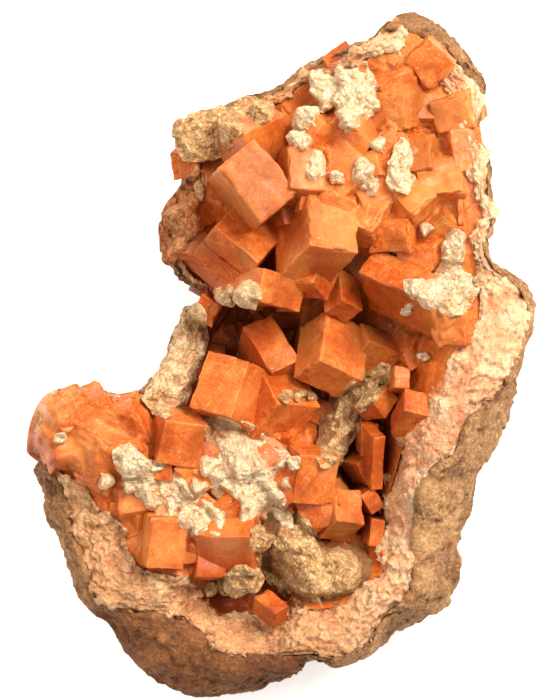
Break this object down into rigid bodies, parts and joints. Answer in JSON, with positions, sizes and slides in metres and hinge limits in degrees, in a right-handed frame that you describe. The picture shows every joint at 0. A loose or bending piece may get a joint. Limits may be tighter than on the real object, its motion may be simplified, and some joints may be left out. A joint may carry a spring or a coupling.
{
  "type": "mineral specimen",
  "caption": "Chabazite specimen: orange near-cubic rhombs and crumbly cream crusts lining a hollow in a piece of basalt with a pale zeolite rim, lying on its back",
  "frame": {"origin": "under the middle of the specimen's box, on the surface it lies on", "axes": "+Y runs along the specimen's length towards its upper end in the picture, +X to the picture's right, +Z out of the crystal-lined face"},
  "size_m": [0.0758, 0.1015, 0.0358],
  "materials": {
    "basalt": "rough granular broken rock",
    "pale_zeolite": "pale pink and cream, broken and granular",
    "chabazite": "orange, translucent, glassy crystal faces",
    "cream_crust": "matt, crumbly, lumpy"
  },
  "bodies": {
    "root": {"basalt_matrix": "basalt", "pale_zeolite_rim": "pale_zeolite", "chabazite_druse": "chabazite", "cream_crust_upper_left": "cream_crust", "cream_crust_left_edge": "cream_crust", "cream_crust_top": "cream_crust", "cream_crust_middle_spots": "cream_crust", "cream_crust_right_rhomb": "cream_crust", "cream_crust_inner_left": "cream_crust", "cream_crust_lower_left": "cream_crust", "cream_crust_centre": "cream_crust", "cream_crust_pocket": "cream_crust", "cream_crust_bottom": "cream_crust"}
  },
  "joints": []
}
